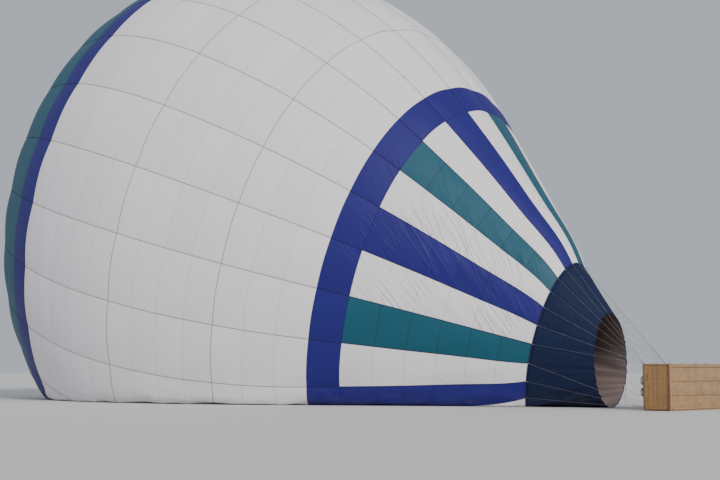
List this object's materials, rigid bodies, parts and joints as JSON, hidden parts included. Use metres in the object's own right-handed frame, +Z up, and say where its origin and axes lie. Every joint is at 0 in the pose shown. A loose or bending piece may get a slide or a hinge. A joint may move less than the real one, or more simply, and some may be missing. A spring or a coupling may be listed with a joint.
{
  "type": "hot air balloon",
  "caption": "Large passenger hot air balloon lying on its side as it is inflated, with a striped lower cone, dark scoop, gimballed burner and wicker basket.",
  "frame": {"origin": "on the floor, under the middle of the whole object as it lies", "axes": "+X from the crown toward the mouth and the basket, +Z up, +Y across"},
  "size_m": [39.07, 23.243, 22.984],
  "materials": {
    "white_fabric": "coated ripstop, satin",
    "navy_fabric": "coated ripstop, satin",
    "teal_fabric": "coated ripstop, satin",
    "scoop_fabric": "heat-resistant cloth, matt",
    "load_tape": "woven webbing",
    "wire": "steel rope",
    "frame_steel": "brushed",
    "coil_steel": "heat-tinted",
    "cylinder_metal": "satin",
    "pole_plastic": "nylon",
    "wicker": "woven willow, varnished",
    "rim_leather": "stitched hide",
    "floor_wood": "oiled ply and ash"
  },
  "bodies": {
    "balloon": {"arch_ring": "navy_fabric", "basket_floor": "floor_wood", "basket_rim": "rim_leather", "basket_runner_1": "floor_wood", "basket_runner_2": "floor_wood", "basket_runner_3": "floor_wood", "basket_runner_4": "floor_wood", "basket_wall_ground": "wicker", "basket_wall_left": "wicker", "basket_wall_right": "wicker", "basket_wall_sky": "wicker", "crown_cap_floor": "teal_fabric", "crown_cap_left": "teal_fabric", "crown_cap_right": "teal_fabric", "crown_cap_top": "teal_fabric", "crown_ring": "navy_fabric", "crown_shoulder_floor": "teal_fabric", "crown_shoulder_left": "teal_fabric", "crown_shoulder_right": "teal_fabric", "crown_shoulder_top": "teal_fabric", "flying_wires_left_high": "wire", "flying_wires_left_low": "wire", "flying_wires_right_high": "wire", "flying_wires_right_low": "wire", "fuel_cylinder_1": "cylinder_metal", "fuel_cylinder_2": "cylinder_metal", "fuel_cylinder_3": "cylinder_metal", "fuel_cylinder_4": "cylinder_metal", "load_frame": "frame_steel", "lower_cone_floor": "white_fabric", "lower_cone_left": "white_fabric", "lower_cone_right": "white_fabric", "lower_cone_top": "white_fabric", "main_lower_floor": "white_fabric", "main_lower_left": "white_fabric", "main_lower_right": "white_fabric", "main_lower_top": "white_fabric", "main_upper_floor": "white_fabric", "main_upper_left": "white_fabric", "main_upper_right": "white_fabric", "main_upper_top": "white_fabric", "mouth_tape": "load_tape", "passenger_partition_left": "wicker", "passenger_partition_right": "wicker", "pilot_partition_left": "wicker", "pilot_partition_right": "wicker", "scoop": "scoop_fabric", "uprights_1": "pole_plastic", "uprights_2": "pole_plastic", "uprights_3": "pole_plastic", "uprights_4": "pole_plastic"},
    "valve": {"parachute_valve": "white_fabric"},
    "gimbal": {"gimbal_ring": "frame_steel"},
    "burner": {"burner_beams": "frame_steel", "burner_1": "coil_steel", "burner_2": "coil_steel", "burner_3": "coil_steel", "burner_4": "coil_steel"}
  },
  "joints": [
    {"name": "valve_slide", "type": "slide", "parent": "balloon", "child": "valve", "axis": [0.9593, 0, -0.2823], "range_m": [0, 1.2]},
    {"name": "gimbal_tilt", "type": "hinge", "parent": "balloon", "child": "gimbal", "pos_m": [17.535, 0, 0.875], "axis": [0, -1, 0], "range_deg": [-18, 18]},
    {"name": "burner_tilt", "type": "hinge", "parent": "gimbal", "child": "burner", "pos_m": [17.535, 0, 0.875], "axis": [0, 0, 1], "range_deg": [-18, 18]}
  ]
}
